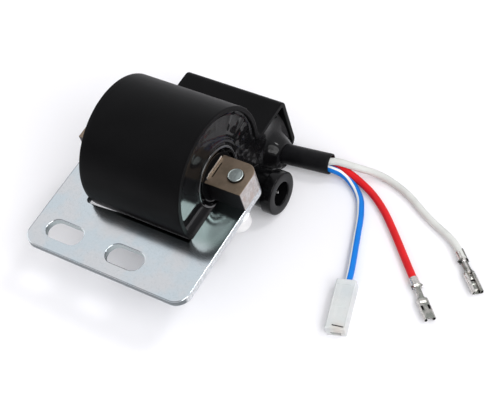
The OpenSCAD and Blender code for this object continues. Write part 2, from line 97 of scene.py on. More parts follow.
# A material or the world: a shader's fixed values, and what varies fed into it. Places are in millimetres.
class Finish:
    def __init__(self, owner, shader="Principled BSDF", **fixed):
        if isinstance(owner, str):
            owner = bpy.data.materials.new(owner)
        owner.use_nodes = True
        self.material, self.tree = owner, owner.node_tree
        self.shader = self.tree.nodes[shader]
        place = {0: self.node("TexCoord", output="Object"), 1: (1000, 1000, 1000)}
        self.place = self.node("VectorMath", place, operation="MULTIPLY")
        self.set(**fixed)

    # Any node: first its settings, then its sockets' values or links
    def node(self, kind, sockets=None, output=0, **settings):
        made = self.tree.nodes.new("ShaderNode" + kind)
        for key, value in settings.items():
            setattr(made, key, value)
        for key, value in (sockets or {}).items():
            self.feed(made.inputs[key], value)
        return Signal(self, made.outputs[output])

    def feed(self, socket, value):
        if isinstance(value, Signal):
            self.tree.links.new(value.socket, socket)
        else:
            socket.default_value = (*value, 1) if socket.type == "RGBA" else value

    def set(self, **values):
        for key, value in values.items():
            self.feed(self.shader.inputs[key.replace("_", " ")], value)
        return self

    # Colours over a first one, each as far as its mask goes
    def layers(self, base, *over):
        for mask, colour in over:
            base = self.node("Mix", {0: mask, 6: base, 7: colour}, 2, data_type="RGBA")
        return base

    # A texture in patches of size millimetres, drawn out by stretch
    def pattern(self, kind, size, stretch=(1, 1, 1), **sockets):
        scale = [1 / (size * s) for s in stretch]
        scaled = self.node("VectorMath", {0: self.place, 1: scale}, operation="MULTIPLY")
        return self.node(kind, {"Vector": scaled, "Scale": 1, **sockets})

    def noise(self, size, detail=2, roughness=0.5, stretch=(1, 1, 1)):
        return self.pattern("TexNoise", size, stretch, Detail=detail, Roughness=roughness)

    # Colour, roughness and a relief of that height in millimetres
    def look(self, base, roughness, height, depth, **others):
        bump = self.node("Bump", {"Height": height, "Distance": depth * mm, "Strength": 1.0})
        return self.set(Base_Color=base, Roughness=roughness, Normal=bump, **others)

    def attribute(self, name):
        return self.node("Attribute", output="Fac", attribute_name=name)

    def axis(self, which):
        return self.node("SeparateXYZ", {0: self.place}, which)

    def distance(self, place, vector=None):
        return self.node("VectorMath", {0: vector or self.place, 1: place}, 1, operation="DISTANCE")

    # 1 for rays of any of these kinds
    def rays(self, *kinds):
        seen, *rest = [self.node("LightPath", output=f"Is {kind} Ray") for kind in kinds]
        for ray in rest:
            seen = seen.maths("MAXIMUM", ray)
        return seen


# Two colours in patches, with a finer noise in the roughness and a sum of both as relief
def patchy(name, first, second, patch, fine, share, rough, relief, **fixed):
    finish = Finish(name, **fixed)
    finish.patch, finish.fine = finish.noise(*patch), finish.noise(*fine)
    finish.base = finish.layers(first, (finish.patch.step(*share), second))
    height = finish.patch * relief[0] + finish.fine * relief[1]
    return finish.look(finish.base, rough[0] + rough[1] * finish.fine, height, relief[2])


# Shapes
# Vectors scaled to length 1
def unit(v):
    return v / np.maximum(np.linalg.norm(v, axis=-1, keepdims=True), 1e-9)


# 0 before a, 1 after b, smooth between
def ease(x, a, b):
    t = np.clip((x - a) / (b - a), 0, 1)
    return t * t * (3 - 2 * t)


# 1 at no distance, then a bell curve of that reach
def bell(distance, reach):
    return np.exp(-(distance / reach) ** 2)


# Even angles round a circle
def circleAngles(sides):
    return np.linspace(0, 2 * np.pi, sides, endpoint=False)


# Points from their coordinates, each spread to the common shape
def pointsOf(*coordinates):
    return np.stack(np.broadcast_arrays(*coordinates), -1)


# Values of a piece's dictionary by their names
def values(piece, names):
    return [piece[name] for name in names.split()]


# A loop in Y and Z at one place along X
def atX(x, loop):
    return pointsOf(x, *loop.T)


# Quads between neighbouring points of a grid; wrapped columns close on themselves.
def gridFaces(rows, columns, wrap=True):
    r = np.arange(rows - 1)[:, None] * columns
    c = np.arange(columns if wrap else columns - 1)[None]
    beside = (c + 1) % columns
    return np.stack([r + c, r + beside, r + columns + beside, r + columns + c], -1).reshape(-1, 4)


# Collects one piece's tubes, sheets and caps in millimetres, and makes one mesh in metres.
class Shape:
    def __init__(self):
        self.points, self.faces, self.values, self.count = [], [], [], 0

    def add(self, points, faces, value=0):
        points = np.reshape(points, (-1, 3))
        self.faces += (faces + self.count).tolist()
        self.points.append(points)
        self.values.append(np.zeros(len(points)) + np.ravel(value))
        self.count += len(points)

    # Rings joined into a tube; a rod's end rings are also closed to their middles
    def tube(self, rings, value=0):
        self.add(rings, gridFaces(*rings.shape[:2]), value)

    def rod(self, rings, value=0):
        self.tube(rings, value)
        k = np.arange(rings.shape[1])
        for ring in (rings[0], rings[-1]):
            self.add(np.vstack([ring, ring.mean(0)]), np.stack([k, np.roll(k, -1), 0 * k + len(k)], -1))

    # Triangles inside the first loop and outside the others, which lift turns into points
    def cap(self, loops, lift):
        triangles = np.array(tessellate_polygon([[Vector((*p, 0)) for p in loop] for loop in loops]))
        xy = np.vstack(loops)
        a, b, c = xy[triangles.T]
        self.add(lift(xy), triangles[np.abs(np.cross(b - a, c - a)) > 1e-9])

    # Merges the seams, gives the finish, and hides the CAD solid that it stands for
    def piece(self, name, finish, slot, node, sharp=35, attribute=None):
        mesh = bpy.data.meshes.new(name)
        mesh.from_pydata((np.vstack(self.points) * mm).tolist(), [], self.faces)
        if attribute:
            made = mesh.attributes.new(attribute, "FLOAT", "POINT")
            made.data.foreach_set("value", np.concatenate(self.values).astype(np.float32))
        work = bmesh.new()
        work.from_mesh(mesh)
        bmesh.ops.remove_doubles(work, verts=work.verts, dist=2e-6)
        bmesh.ops.dissolve_degenerate(work, edges=work.edges, dist=1e-7)
        bmesh.ops.recalc_face_normals(work, faces=work.faces)
        work.to_mesh(mesh)
        work.free()
        mesh.shade_smooth()
        mesh.set_sharp_from_angle(angle=math.radians(sharp))
        mesh.materials.append(finish.material)
        body = addObject(name, mesh)
        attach(body, "root")
        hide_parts(node)
        return body


# An arc round a middle, from one angle to another in degrees
def bend(middle, r, start, end, steps):
    a = np.radians(np.linspace(start, end, steps + 1))
    return pointsOf(middle[0] + r * np.cos(a), middle[1] + r * np.sin(a))


# Rounded corners, each x, y and radius: an arc between the points where it touches the sides
def roundedLoop(corners, steps):
    made = []
    for i, (x, y, r) in enumerate(corners):
        here = np.array([x, y])
        before, after = (unit(np.array(corners[j % len(corners)][:2]) - here) for j in (i - 1, i + 1))
        half = math.acos(np.clip(before @ after, -1, 1)) / 2
        middle = here + unit(before + after) * r / math.sin(half)
        start, end = (here + way * r / math.tan(half) - middle for way in (before, after))
        first = math.degrees(math.atan2(start[1], start[0]))
        swing = (math.degrees(math.atan2(end[1], end[0])) - first + 180) % 360 - 180
        made.append(bend(middle, r, first, first + swing, steps))
    return np.vstack(made)


# A rectangle with rounded corners; the two at its back may have another radius.
def roundedBox(x0, x1, y0, y1, r, steps, backR=None):
    return roundedLoop([(x0, y0, r), (x1, y0, r), (x1, y1, backR or r), (x0, y1, backR or r)], steps)


# Clockwise, because it is a hole
def circleLoop(x, y, r, steps=48):
    return bend((x, y), r, 0, -360, steps)[:-1]


# More points on a loop's straight stretches, none further apart than step
def withPoints(loop, step):
    made = []
    for a, b in zip(loop, np.roll(loop, -1, 0)):
        gap = np.linalg.norm(b - a)
        if gap > 1e-6:
            made.append(a + (b - a) * np.linspace(0, 1, math.ceil(gap / step), endpoint=False)[:, None])
    return np.vstack(made)


# Outward direction at each point of a loop with its filled side on the left
def loopNormals(loop):
    t = np.roll(loop, -1, 0) - np.roll(loop, 1, 0)
    return unit(pointsOf(t[:, 1], -t[:, 0]))


# Each loop, the first outside and the others holes, goes up a wall of inset and height that has a
# quarter circle at both edges.
def addPlate(shape, loops, low, high, lowR, highR, between=()):
    flat = 0.06
    profile = np.array([(lowR + flat, low), *bend((lowR, low + lowR), lowR, 270, 180, 4), *between,
        *bend((highR, high - highR), highR, 180, 90, 4), (highR + flat, high)])
    for loop in loops:
        xy = loop - loopNormals(loop) * profile[:, :1, None]
        shape.tube(pointsOf(xy[..., 0], xy[..., 1], profile[:, 1:]))
    for inset, z in profile[[0, -1]]:
        inner = [loop - loopNormals(loop) * inset for loop in loops]
        shape.cap(inner, lambda xy: pointsOf(*xy.T, z))


# Cubic pieces through the given points, whose slopes join
def smoothLine(points, step=0.5):
    chord = np.linalg.norm(np.diff(points, axis=0), axis=1)
    t = np.concatenate([[0], np.cumsum(chord)])
    slope = np.gradient(points, t, axis=0)
    s = np.linspace(0, t[-1], int(t[-1] / step) + 1)
    i = np.clip(np.searchsorted(t, s, side="right") - 1, 0, len(chord) - 1)
    h = chord[i][:, None]
    u = ((s - t[i]) / chord[i])[:, None]
    a, b, ma, mb = points[i], points[i + 1], slope[i] * h, slope[i + 1] * h
    v = 1 - u
    return v**2 * ((1 + 2 * u) * a + u * ma) + u**2 * ((3 - 2 * u) * b - v * mb)


# Circles round a line that is nowhere upright, square to it
def ringsAlong(line, radius, sides):
    along = unit(np.gradient(line, axis=0))
    side = unit(np.cross(along, [0, 0, 1]))
    a = -circleAngles(sides)[:, None]
    return line[:, None] + radius * (np.cos(a) * np.cross(side, along)[:, None] + np.sin(a) * side[:, None])


# Turned work: the profile's radii and places go round an axis, after ripple has changed them.
def turned(profile, start, direction, sides, ripple=lambda r, x, around: (r, x)):
    along = unit(np.array(direction, float))
    side = unit(np.cross(along, [0, 0, 1] if abs(along[2]) < 0.9 else [1, 0, 0]))
    a = circleAngles(sides)
    ring = np.cos(a)[:, None] * side + np.sin(a)[:, None] * np.cross(along, side)
    r, x = ripple(*(np.tile(v[:, None], sides) for v in np.array(profile, float).T), a)
    return start + r[..., None] * ring + x[..., None] * along


# Bent sheet metal: the outer skin, a second one under it, and a wall along each edge
def addSheet(shape, skin, thickness, turn, value):
    rows, columns = skin.shape[:2]
    under = rows * columns
    n = unit(np.cross(np.gradient(skin, axis=0), np.gradient(skin, axis=1)))
    index = np.arange(under).reshape(rows, columns)
    cells = gridFaces(rows, columns, False)
    faces = [cells, cells[:, ::-1] + under]
    for rim in (index[0], index[-1], index[:, 0], index[:, -1]):
        faces.append(np.stack([rim[:-1], rim[1:], rim[1:] + under, rim[:-1] + under], -1))
    shape.add(turn(np.stack([skin, skin - thickness * n])), np.vstack(faces), value)


print("tools ready")

# Sizes in millimetres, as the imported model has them
plate = dict(x0=-24.95, x1=39.75, y0=-8.1, y1=42.55, thick=2.5, cornerR=5.1, armR=4, notchX0=-12.75,
    notchX1=29.05, notchY=13.24, notchR=1.2, tipR=0.6, lean=0.85, upperEdge=0.35, lowerEdge=0.18)
slots = dict(pitch=24.6, width=7.2, length=14.2)
case = dict(axisY=36.5, axisZ=8.3, radius=23, x0=-11.5, x1=27.8, wall=1.8, backY=75.5, topZ=1.9,
    floorZ=-20.1, edgeR=2.4, neckR=1.6, belly=20)
core = dict(y0=30.45, y1=42.55, z0=2.5, z1=11, cornerR=4, sheets=17)
resinFace = 26.3
collar = dict(inner=9.7, outer=10.7, axisZ=6.75, proud=0.5)
tower = dict(y=48.65, z=-11.5, x0=22.4, x1=39.6, bodyR=6.7, ringR=7.6, ring=4, boreR=4.2, bore=15,
    pinR=1.02)
sleeve = dict(foot=(19.6, 64, -14), mouth=(47.4, 67.7, -14.7), radius=3.6, wall=0.6)
leadR = 1.25
blade = dict(length=16, sheet=0.35)


# Leads
sleeveFoot, sleeveMouth = np.array(sleeve["foot"]), np.array(sleeve["mouth"])
leadPaths = dict(
    blue=dict(inSleeve=(-1.2, -0.85), turn=-73.6, end=(74.3, 28.5, -17.85), route=[(48.6, 66.6, -15.9),
        (51.4, 66.9, -16.9), (53.8, 66.5, -17.8), (56.6, 65.1, -18.5), (59.5, 62.9, -18.8),
        (61.9, 60.3, -18.8), (63.6, 57.3, -18.8), (65.2, 53.9, -18.8), (66.8, 49.6, -18.8),
        (68.7, 44.4, -18.7), (70.8, 39, -18.4), (72.6, 34.1, -18.1)]),
    red=dict(inSleeve=(1.35, -0.7), turn=-45, end=(92.1, 39.9, -18.4), route=[(49.6, 68.7, -15.8),
        (52.6, 68.2, -16.4), (56, 67.5, -17.3), (59.7, 66.4, -18.2), (63.5, 64.8, -18.7),
        (68.1, 62, -18.8), (72.4, 58.7, -18.8), (76.3, 55.2, -18.8), (80.2, 51.5, -18.8),
        (84.6, 47.2, -18.7), (88.8, 43.1, -18.5)]),
    white=dict(inSleeve=(-0.05, 1.5), turn=-44, end=(101.2, 54.5, -18.4), route=[(49.4, 68.7, -13.6),
        (54, 69.7, -14.8), (57.4, 70.5, -15.9), (60.8, 71.3, -17), (64.3, 71.6, -18),
        (68.2, 71.1, -18.6), (72.2, 69.9, -18.8), (76.5, 68.1, -18.8), (80.6, 65.8, -18.8),
        (84.9, 63.4, -18.8), (89.4, 61.2, -18.8), (93.9, 59.3, -18.7), (98, 57.1, -18.5)]))
insulation = dict(blue=(0.003, 0.19, 0.68), red=(0.7, 0.012, 0.016), white=(0.69, 0.7, 0.68))
stripe = dict(colour=(0.88, 0.89, 0.9), halfAngle=21, blur=0.012, angle=3, lean=35)


# A lead's end, and the directions along it, to its left and up as rows
def leadEnd(path):
    turn = math.radians(path["turn"])
    c, s = math.cos(turn), math.sin(turn)
    return np.array(path["end"]), np.array([[c, s, 0], [-s, c, 0], [0, 0, 1]])


# A lead's points: inside the sleeve, along its route, and into its terminal
def leadLine(path):
    aside = np.array([0, *path["inSleeve"]])
    foot = np.array([19, *sleeveFoot[1:]]) + aside
    inside = [sleeveFoot + f * (sleeveMouth - sleeveFoot) + aside for f in (0.25, 0.5, 0.75, 0.98)]
    end, axes = leadEnd(path)
    return np.array([foot, *inside, *path["route"], end, end + 2.6 * axes[0]])


# The stripe runs along the top and leans outwards further on: the cosine of the angle from it.
def stripeValue(along, around):
    return np.cos(around - np.radians(stripe["angle"] + stripe["lean"] * ease(along, 0.34, 0.62)))


for colour, path in leadPaths.items():
    first = insulation[colour]
    finish = patchy(colour + "Pvc", first, [c * 0.9 for c in first], (6, 2), (0.5, 3), (0.35, 0.7), (0.3, 0.12),
        (2, 1, 0.02), Specular_IOR_Level=0.22)
    path["line"] = smoothLine(leadLine(path))
    value = 0
    if colour == "blue":
        edge = math.cos(math.radians(stripe["halfAngle"]))
        mask = finish.attribute("stripe").step(edge - stripe["blur"], edge + stripe["blur"])
        finish.set(Base_Color=finish.layers(finish.base, (mask, stripe["colour"])))
        value = stripeValue(np.linspace(0, 1, len(path["line"]))[:, None], -circleAngles(28))
    shape = Shape()
    shape.rod(ringsAlong(path["line"], leadR, 28), value)
    shape.piece(colour + "Lead", finish, colour + "_pvc", colour + "_wire",
        attribute="stripe")
print("leads laid")


# Mounting plate
# Two half circles joined by straight sides, clockwise because it is a hole
def slotLoop(x, y, length, width, steps=20):
    r, reach = width / 2, (length - width) / 2
    return np.vstack([bend((x + reach, y), r, 90, -90, steps), bend((x - reach, y), r, 270, 90, steps)])


rivet = dict(r=2.6, footR=2.85, inset=5.1, y=36.5, top=12, hole=2.68, rim=0.35)
rivetPlaces = [plate["x0"] + rivet["inset"], plate["x1"] - rivet["inset"]]
rivetHoles = lambda r: [circleLoop(x, rivet["y"], r) for x in rivetPlaces]  # through the plate and the core


# The notch's front edge leans in toward the case, so that the gap closes past the first third.
def plateLoops():
    x0, x1, y0, y1, r, armR = values(plate, "x0 x1 y0 y1 cornerR armR")
    left, right, deep, deepR, tipR = values(plate, "notchX0 notchX1 notchY notchR tipR")
    corners = [(x0, y0, r), (x1, y0, r), (x1, y1, armR), (right, y1, tipR), (right, deep, deepR),
        (left, deep, deepR), (left, y1, tipR), (x0, y1, armR)]
    x, y = withPoints(roundedLoop(corners, 12), 4).T
    inNotch = (x > left - 0.1) & (x < right + 0.1) & (y > 13)
    shift = plate["lean"] * ease(x, -9, 3) * (1 - ease(y, 13.3, 16)) * inNotch
    return [pointsOf(x, y + shift),
        *(slotLoop(s * slots["pitch"] / 2, 0, slots["length"], slots["width"]) for s in (-1, 1)),
        *rivetHoles(rivet["footR"] + 0.02)]


# Cloudy, with a painted teal reflection behind the slots; sheared walls dark, partly rough cut and partly
# painted shade, painted lighter at the right end and pale in the slots as painted light; a painted dark
# reflection on the left edge, painted black shade at the notch lip.
def zincPlate():
    finish = Finish("zincPlate", Metallic=1)
    along, forth, up = (finish.axis(i) for i in range(3))
    cloud = finish.noise(9, 3)
    tide = finish.noise(4, 4, 0.6)
    speck = finish.noise(0.55, 4, 0.7)
    scratch = finish.noise(0.5, 3, 0.6, (14, 0.35, 1))
    torn = finish.noise(0.3, 3, 0.6, (1, 1, 4))
    notRight = along.step(39.6, 39.1)
    wall = up.step(0.2, 0.45) * up.step(2.35, 2.1)
    # painted reflection: the plate darker and greener where the dark core and case would mirror in it
    paintedReflection = forth.step(10, 17) * (0.75 + 0.3 * cloud) * notRight * along.step(-12, 6)
    # painted light: the slot walls painted paler where they face the light
    slotWallSheen = 0.7 * along.step(-21, -20) * along.step(36, 35) * forth.step(-6.5, -5.5)
    # painted shade on the sheared walls over their own darker rough cut; the right end's wall is painted
    # lighter as lit
    shadedWall = finish.layers((0.12, 0.14, 0.15), (torn, (0.24, 0.26, 0.27)))
    right = finish.layers((0.5, 0.52, 0.53), (torn.step(0.3, 0.7), (0.84, 0.85, 0.86)))
    edge = finish.layers(right, (notRight, shadedWall), (slotWallSheen * forth.step(12.5, 11.5), (0.52, 0.58, 0.58)))
    # painted shade: the plate's lip at the notch painted near black where it meets the case
    notchLipShade = forth.step(12.75, 12.85) * along.step(-4, 4) * along.step(29.4, 29)
    base = finish.layers(
        (0.61, 0.675, 0.71), (cloud.step(0.4, 0.66), (0.67, 0.68, 0.69)),
        (tide.step(0.6, 0.75) * 0.35, (0.56, 0.6, 0.6)), (speck.step(0.5, 0.72) * 0.5, (0.5, 0.545, 0.565)),
        # painted reflection behind the slots, the walls, and a painted dark reflection along the left edge
        (paintedReflection, (0.38, 0.5, 0.49)), (wall, edge), (along.step(-24.4, -24.75), (0.2, 0.22, 0.23)),
        (notchLipShade, (0.02, 0.02, 0.022)))
    sheared = up.step(0.05, -0.02) + wall
    return finish.look(base, 0.1 + 0.08 * cloud + 0.05 * speck + 0.25 * sheared,
        scratch * 0.12 + speck * 0.45 + cloud * 2, 0.006)


shape = Shape()
addPlate(shape, plateLoops(), 0, *values(plate, "thick lowerEdge upperEdge"))
shape.piece("mountingPlate", zincPlate(), "zinc_plate", "mounting_plate")
print("plate made")


# Core
# Each sheet's edge is a low round between two grooves: inset and height.
def sheetEdges(count, groove=0.03, width=0.05):
    z = np.linspace(core["z0"], core["z1"], count + 1)[1:-1]
    return pointsOf([0, groove, 0], z[:, None] + [-width, 0, width]).reshape(-1, 2)


# Brown and mottled on top, bright with rust stains and upright streaks at the sides, painted dark as shade in
# front
def coreSteel():
    finish = Finish("coreSteel", Metallic=1)
    cloud = finish.noise(5, 4, 0.6)
    mottle = finish.noise(1.1, 4, 0.65)
    grain = finish.noise(0.35, 3, 0.6, (1, 8, 1))
    stain = finish.noise(2.6, 3, 0.6, (1, 1, 1.6))
    streak = finish.noise(0.5, 3, 0.6, (1, 1, 9))
    up = finish.axis(2).step(core["z1"] - 0.12, core["z1"] - 0.06)
    # painted shade: the front side painted dark
    front = finish.axis(1).step(core["y0"] + 0.2, core["y0"] + 0.12)
    top = finish.layers((0.31, 0.24, 0.18), (cloud.step(0.35, 0.7), (0.235, 0.185, 0.135)),
        (mottle.step(0.5, 0.75) * 0.4, (0.38, 0.31, 0.25)))
    base = finish.layers((0.52, 0.485, 0.46), (mottle.step(0.35, 0.7), (0.7, 0.68, 0.66)),
        (stain.step(0.5, 0.68) * 0.5, (0.5, 0.36, 0.29)),
        (streak.step(0.5, 0.8) * 0.35, (0.36, 0.35, 0.34)),
        (front, (0.062, 0.055, 0.06)), (up, top))
    return finish.look(base, 0.3 + 0.14 * mottle - 0.04 * grain + 0.24 * up,
        grain * 0.6 + mottle + finish.pattern("TexVoronoi", 1.6) * 0.4, 0.01)


y0, y1, z0, z1, cornerR, sheets = values(core, "y0 y1 z0 z1 cornerR sheets")
outline = withPoints(roundedBox(plate["x0"], plate["x1"], y0, y1, 0.25, 10, cornerR), 4)
shape = Shape()
addPlate(shape, [outline, *rivetHoles(rivet["hole"])], z0, z1, 0.1, 0.16, sheetEdges(sheets))
shape.piece("coreStack", coreSteel(), "core_steel", "core_stack")


# A peened end: its height falls off along a few broad directions, in soft facets.
def peened(r, z, around):
    planes = [c - 0.03 * r * np.cos(around - t) for t, c in ((0.6, 0.02), (2.6, 0), (4.7, 0.015))]
    drop = np.minimum.reduce(planes) - 0.03
    return r, z + np.where((z > rivet["top"] - 0.2) & (r < 2.3), drop, 0)


rivetFinish = patchy("rivetZinc", (0.6, 0.67, 0.65), (0.47, 0.53, 0.52), (1.6, 3), (0.3, 3), (0.35, 0.65),
    (0.37, 0.12), (1.4, 0.2, 0.03), Metallic=1)
r, footR, top, rim = values(rivet, "r footR top rim")
# painted shade: the head's flank painted dark below its top
flankShade = rivetFinish.axis(2).step(top - 0.12, top - 0.32)
rivetFinish.set(Base_Color=rivetFinish.layers(rivetFinish.base, (flankShade, (0.075, 0.07, 0.062))))
face = [(u, top - 0.055 - 0.02 * (u / 2.2) ** 2) for u in np.linspace(2.15, 0.06, 12)]
profile = [(0.06, 0), (footR - 0.06, 0), (footR, 0.05), (r, 0.3), (r, 2.4), (r, 10.9),
    *bend((r - rim, top - 0.05 - rim), rim, 0, 75, 5), *face]
shape = Shape()
for x in rivetPlaces:
    shape.rod(turned(profile, (x, rivet["y"], 0), (0, 0, 1), 48, peened))
shape.piece("coreRivets", rivetFinish, "rivet_steel", "core_rivets")


# Painted highlight along the folds' upper edges, painted shade down between them
def shimSheet():
    finish = Finish("shimSheet", Metallic=1)
    worn = finish.noise(0.8, 3)
    # painted highlight above this height, painted shade below it
    high = finish.axis(2).step(core["z1"] + 0.08, core["z1"] + 0.3)
    bright = finish.layers((0.97, 0.95, 0.92), (worn.step(0.35, 0.7), (0.82, 0.79, 0.75)))
    return finish.look(finish.layers((0.045, 0.038, 0.03), (high, bright)), 0.3 + 0.1 * worn, worn, 0.03)


# The strip is thin sheet on edge, a tall fold against the resin and low ones before it, each a narrow
# loop along a line: place, thickness, places in Y, tops.
folds = [(0.01, 0.16, [32.1, 32.2, 32.9, 33.2, 36, 39, 41.2, 41.35], [0.5, 0.62, 0.66, 1, 1, 0.98, 1, 0.85]),
    (0.95, 0.4, [33.4, 33.6, 35, 37.3, 39.3, 39.5], [0.02, 0.05, 0.06, 0.06, 0.05, 0.02]),
    (0.02, 0.5, [31.65, 31.8, 32.1, 32.25], [0.14, 0.3, 0.34, 0.14])]
shape = Shape()
for x, thick, ys, tops in folds:
    ys, tops = np.array([ys, tops])[..., None]
    across = np.array([0, 1, 1, 0.75, 0.25, 0]) * thick
    up = np.array([0, 0, 0.92, 1, 1, 0.92]) * tops
    shape.rod(pointsOf(resinFace + x + across, ys, core["z1"] + 0.01 + up))
shape.piece("coreShim", shimSheet(), "core_steel", "core_shim")
print("core made")


# Case
# The case's outline in Y and Z at a depth inside its skin, always of as many points: belly, sloping
# face, floor, back, top and the hollow neck.
def caseLoop(depth):
    y, z, radius, neckR, topZ = values(case, "axisY axisZ radius neckR topZ")
    r, edge, belly = radius - depth, case["edgeR"] - depth, math.radians(case["belly"])
    low, high, back = case["floorZ"] + depth, topZ - depth, case["backY"] - depth
    foot = y - (r + math.cos(belly) * (low - z)) / math.sin(belly), low
    neckZ = topZ + neckR
    neckY = y + math.sqrt((radius + neckR) ** 2 - (neckZ - z) ** 2)
    meet = math.degrees(math.atan2(neckZ - z, neckY - y))

    def line(a, b, n):
        return np.array(a) + (np.array(b) - np.array(a)) * np.linspace(0, 1, n + 2)[1:-1, None]

    return np.vstack([
        bend((y, z), r, meet, 270 - case["belly"], 150),
        line((y - r * math.sin(belly), z - r * math.cos(belly)), foot, 8), [foot],
        line(foot, (back - edge, low), 24), bend((back - edge, low + edge), edge, -90, 0, 8),
        line((back, low + edge), (back, high - edge), 12), bend((back - edge, high - edge), edge, 0, 90, 8),
        line((back - edge, high), (neckY, high), 8),
        bend((neckY, neckZ), neckR + depth, 270, 180 + meet, 8)[:-1]])


# Black plastic with a fine leather grain
def blackMoulding(name, gloss=0.42, level=0.07):
    finish = Finish(name, Specular_IOR_Level=level)
    smear = finish.noise(3, 4, 0.65, (3, 1, 1))
    cloud = finish.noise(12, 3)
    base = finish.layers((0.0024, 0.0024, 0.0027), (cloud.step(0.3, 0.7), (0.0034, 0.0034, 0.0038)))
    return finish.look(base, gloss + 0.08 * smear, finish.noise(0.22, 3, 0.6) + smear * 0.7, 0.005)


# Rings of depth and place: round the left end, along the outside, round the rim and back inside. The
# core passes through a window in the left wall.
x0, x1, wall = values(case, "x0 x1 wall")
inner = x0 + wall
steps = [(d, x0 + x) for d, x in ((0.5, 0), (0.45, 0), (0.27, 0.05), (0.13, 0.13), (0.05, 0.27), (0, 0.45))]
steps += [(0, x) for x in np.linspace(x0 + 2, x1 - 0.6, 12)]
steps += [(d, x1 + x) for d, x in ((0, -0.3), (0.09, -0.1), (0.3, 0), (0.34, 0), (wall - 0.34, 0),
    (wall - 0.3, 0), (wall - 0.09, -0.09), (wall, -0.3))]
steps += [(wall, x) for x in (24, 10, inner)]
gap = 0.1
window = roundedBox(core["y0"] - gap, core["y1"] + gap, core["z0"] - gap, core["z1"] + gap, 0.3, 4)
shape = Shape()
shape.tube(np.stack([atX(x, caseLoop(d)) for d, x in steps]))
shape.tube(np.stack([atX(x, window) for x in (x0, inner)]))
for d, x in (steps[0], steps[-1]):
    shape.cap([caseLoop(d), window], lambda yz: atX(x, yz))
shape.piece("coilCase", blackMoulding("blackMoulding"), "black_plastic", "coil_shell")
print("case made")


# Resin
resinShape = dict(grid=0.42, wallRise=0.35, wallReach=0.4, crescentRise=1.2, crescentReach=1.2,
    collarRise=0.2, collarReach=0.45, sleeveRise=4.7, sleeveReach=2.7, hollow=1.7, runHeight=0.24,
    runAngle=15, ridge=0.14, blots=0.15, fall=0.1, groove=0.12)


# Distance to the nearest corner of a loop
def distanceTo(points, loop):
    return np.min(np.hypot(*(points[:, None] - loop).T), 0)


# Inside where a line along Y crosses the loop an odd number of times
def insideLoop(points, loop):
    y, z = points[:, :1], points[:, 1:]
    a, b = loop, np.roll(loop, -1, 0)
    crosses = (a[:, 1] > z) != (b[:, 1] > z)
    with np.errstate(divide="ignore", invalid="ignore"):
        at = (b[:, 0] - a[:, 0]) * (z - a[:, 1]) / (b[:, 1] - a[:, 1]) + a[:, 0]
    return (crosses & (y < at)).sum(1) % 2 == 1


# Distance from the collar's axis
def fromCollar(points):
    return np.hypot(points[:, 0] - case["axisY"], points[:, 1] - collar["axisZ"])


# The poured face is nearly flat. It climbs the wall, most in a crescent at the top, the collar and the
# sleeve, sinks towards the box's upper corner, and has runs, blots, a groove, a crest and rings.
def resinSurface(yz, wallLoop):
    s = resinShape
    y, z = yz.T
    toWall = distanceTo(yz, wallLoop)
    fromAxis = fromCollar(yz)
    angle = np.degrees(np.arctan2(z - collar["axisZ"], y - case["axisY"]))
    toSleeve = np.hypot(y - 64.9, z + 14.2)
    crescent = bell(angle - 100, 45)
    x = resinFace - s["fall"] * np.maximum(fromAxis - 12.5, 0) * bell(angle - 70, 40)
    rise = s["wallRise"] + s["crescentRise"] * crescent
    x += rise * np.exp(-toWall / (s["wallReach"] + s["crescentReach"] * crescent))
    x += s["collarRise"] * np.exp(-np.maximum(fromAxis - collar["outer"], 0) / s["collarReach"])
    x += s["sleeveRise"] * bell(np.maximum(toSleeve - 4, 0), s["sleeveReach"])
    x -= s["hollow"] * bell(np.hypot((y - 72.5) / 1.3, (z + 2.5) / 1.1), 4.2)
    lean = angle + 9 * np.sin(angle / 13) + 4 * np.sin(angle / 3.7 + 1) + 0.8 * (fromAxis - 16)
    run = (0.5 + 0.5 * np.cos(2 * np.pi * lean / s["runAngle"])) ** 1.6
    reach = ease(fromAxis, 13.6 + 2.2 * np.sin(angle / 4.3 + 1) + 1.4 * np.sin(angle / 2.1), 19.5)
    x += s["runHeight"] * run * reach * bell(angle - 24, 27)
    crest = np.interp(angle, [10, 29, 71, 96, 120], [13, 13.2, 14.9, 17.9, 20])
    beforeTop = 1 - ease(angle, 95, 125)
    x += s["ridge"] * bell(fromAxis - crest, 1.1) * ease(angle, 5, 30) * beforeTop
    rings = np.cos(2 * np.pi * (fromAxis - 11.2) / 1.15) * bell(fromAxis - 12, 1.1)
    x += 0.05 * rings * ease(angle, 0, 30) * (1 - ease(angle, 110, 140))
    blots = np.sin(0.9 * y + 0.5 * z + 1) * np.sin(0.5 * y - 1.3 * z) + 0.4 * np.sin(1.9 * y + 0.7 * z)
    x += s["blots"] * blots * bell(angle + 10, 30) * bell(fromAxis - 15, 4)
    x -= s["groove"] * bell(toWall - 2.5 - 0.02 * (angle - 70), 0.55) * ease(angle, 32, 52) * beforeTop
    return x + 0.03 * np.sin(0.21 * y + 0.9) * np.sin(0.25 * z + 0.4)


